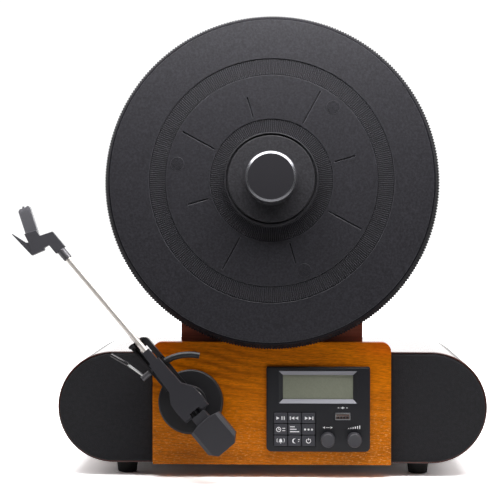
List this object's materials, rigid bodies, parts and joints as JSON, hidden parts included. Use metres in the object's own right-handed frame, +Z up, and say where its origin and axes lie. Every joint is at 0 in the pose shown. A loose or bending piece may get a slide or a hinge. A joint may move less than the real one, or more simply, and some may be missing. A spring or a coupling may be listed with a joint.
{
  "type": "vertical record player",
  "caption": "Upright platter with clamp and spring-tracked tonearm on a long round-ended wooden speaker cabinet with a display, keys and knobs.",
  "frame": {"origin": "on the surface the player stands on, under the middle of the cabinet", "axes": "+X to the right seen from the front, +Y away from the viewer, +Z up"},
  "size_m": [0.4109, 0.234, 0.4038],
  "materials": {
    "dark_wood": "gloss",
    "veneer": "satin",
    "fibreboard": "matte",
    "grille_cloth": "woven",
    "foot_rubber": "matte",
    "black_plastic": "fine grain",
    "platter_plastic": "pebbled",
    "clamp_plastic": "smooth",
    "arm_plastic": "smooth",
    "weight_paint": "satin",
    "chrome": "polished",
    "steel": "plain",
    "brass": "plain",
    "display": "gloss",
    "guard": "satin",
    "circuit_board": "solder mask",
    "rubber": "matte",
    "key_plastic": "smooth",
    "speaker_cone": "pulp cone"
  },
  "bodies": {
    "root": {"cabinet_shell": "dark_wood", "feet": "foot_rubber", "case_screws": "steel", "baffle": "fibreboard", "speakers": "speaker_cone", "grilles": "grille_cloth", "front_panel": "veneer", "back_panel": "black_plastic", "line_out_sockets": "brass", "aux_socket": "black_plastic", "power_inlet": "black_plastic", "main_board": "circuit_board", "control_panel": "black_plastic", "display_glass": "display", "display_module": "circuit_board", "button_board": "circuit_board", "rotary_controls": "steel", "data_socket": "steel", "riser_housing": "dark_wood", "riser_cover": "black_plastic", "deck_plate": "black_plastic", "bearing_bush": "brass", "motor": "steel", "motor_grommets": "rubber", "drive_belt": "rubber", "arm_base": "black_plastic", "arm_bush": "brass", "arm_rest": "black_plastic"},
    "platter": {"platter": "platter_plastic", "platter_rim": "platter_plastic", "drive_ring": "platter_plastic", "platter_plugs": "platter_plastic", "spindle": "steel"},
    "clamp": {"record_clamp": "clamp_plastic"},
    "pulley": {"motor_pulley": "brass"},
    "swing": {"arm_yoke": "arm_plastic"},
    "arm": {"arm_housing": "arm_plastic", "pivot_screws": "chrome", "arm_tube": "chrome", "arm_collar": "chrome", "counterweight": "weight_paint", "headshell": "arm_plastic", "cartridge": "black_plastic", "stylus": "black_plastic", "tracking_spring": "steel"},
    "guard": {"stylus_guard": "guard"},
    "cue": {"cue_lever": "chrome", "cue_grip": "rubber"},
    "lifter": {"cue_lifter": "black_plastic"},
    "tuning": {"tune_knob": "key_plastic"},
    "volume": {"volume_knob": "key_plastic"},
    "key_1": {"button_1": "key_plastic"},
    "key_2": {"button_2": "key_plastic"},
    "key_3": {"button_3": "key_plastic"},
    "key_4": {"button_4": "key_plastic"},
    "key_5": {"button_5": "key_plastic"},
    "key_6": {"button_6": "key_plastic"},
    "key_7": {"button_7": "key_plastic"},
    "key_8": {"button_8": "key_plastic"},
    "key_9": {"button_9": "key_plastic"}
  },
  "joints": [
    {"name": "platter_spin", "type": "hinge", "parent": "root", "child": "platter", "pos_m": [0, -0.1, 0.259], "axis": [0, 0.9969, -0.0785], "continuous": true},
    {"name": "pulley_spin", "type": "hinge", "parent": "root", "child": "pulley", "pos_m": [-0.04008, -0.0881, 0.18083], "axis": [0, 0.9969, -0.0785], "continuous": true},
    {"name": "clamp_lift", "type": "slide", "parent": "platter", "child": "clamp", "axis": [0, -0.9969, 0.0785], "range_m": [0, 0.03]},
    {"name": "arm_swing", "type": "hinge", "parent": "root", "child": "swing", "pos_m": [-0.07, -0.12801, 0.06881], "axis": [0, 0.9969, -0.0785], "range_deg": [0, 46]},
    {"name": "arm_lift", "type": "hinge", "parent": "swing", "child": "arm", "pos_m": [-0.07, -0.12801, 0.06881], "axis": [0.7627, 0.0507, 0.6448], "range_deg": [0, 14], "stiffness_Nm_per_rad": 0.02, "springref_deg": -28.65},
    {"name": "guard_slide", "type": "slide", "parent": "arm", "child": "guard", "axis": [-0.3223, 0.0743, 0.9437], "range_m": [0, 0.024]},
    {"name": "cue_turn", "type": "hinge", "parent": "root", "child": "cue", "pos_m": [-0.09691, -0.11246, 0.09941], "axis": [0.7627, 0.0507, 0.6448], "range_deg": [0, 75]},
    {"name": "lifter_rise", "type": "slide", "parent": "root", "child": "lifter", "axis": [0, -0.9969, 0.0785], "range_m": [0, 0.0035]},
    {"name": "tuning_turn", "type": "hinge", "parent": "root", "child": "tuning", "pos_m": [0.0489, -0.098, 0.0343], "axis": [0, 1, 0], "continuous": true},
    {"name": "volume_turn", "type": "hinge", "parent": "root", "child": "volume", "pos_m": [0.0719, -0.098, 0.0343], "axis": [0, 1, 0], "range_deg": [-150, 150]},
    {"name": "key_1_press", "type": "slide", "parent": "root", "child": "key_1", "axis": [0, 1, 0], "range_m": [0, 0.0012], "stiffness_N_per_m": 300, "springref_m": -0.001},
    {"name": "key_2_press", "type": "slide", "parent": "root", "child": "key_2", "axis": [0, 1, 0], "range_m": [0, 0.0012], "stiffness_N_per_m": 300, "springref_m": -0.001},
    {"name": "key_3_press", "type": "slide", "parent": "root", "child": "key_3", "axis": [0, 1, 0], "range_m": [0, 0.0012], "stiffness_N_per_m": 300, "springref_m": -0.001},
    {"name": "key_4_press", "type": "slide", "parent": "root", "child": "key_4", "axis": [0, 1, 0], "range_m": [0, 0.0012], "stiffness_N_per_m": 300, "springref_m": -0.001},
    {"name": "key_5_press", "type": "slide", "parent": "root", "child": "key_5", "axis": [0, 1, 0], "range_m": [0, 0.0012], "stiffness_N_per_m": 300, "springref_m": -0.001},
    {"name": "key_6_press", "type": "slide", "parent": "root", "child": "key_6", "axis": [0, 1, 0], "range_m": [0, 0.0012], "stiffness_N_per_m": 300, "springref_m": -0.001},
    {"name": "key_7_press", "type": "slide", "parent": "root", "child": "key_7", "axis": [0, 1, 0], "range_m": [0, 0.0012], "stiffness_N_per_m": 300, "springref_m": -0.001},
    {"name": "key_8_press", "type": "slide", "parent": "root", "child": "key_8", "axis": [0, 1, 0], "range_m": [0, 0.0012], "stiffness_N_per_m": 300, "springref_m": -0.001},
    {"name": "key_9_press", "type": "slide", "parent": "root", "child": "key_9", "axis": [0, 1, 0], "range_m": [0, 0.0012], "stiffness_N_per_m": 300, "springref_m": -0.001}
  ],
  "couplings": [
    {"joint": "pulley_spin", "follows": "platter_spin", "ratio": 11.299},
    {"joint": "lifter_rise", "follows": "cue_turn", "m_per_rad": 0.0026738}
  ]
}
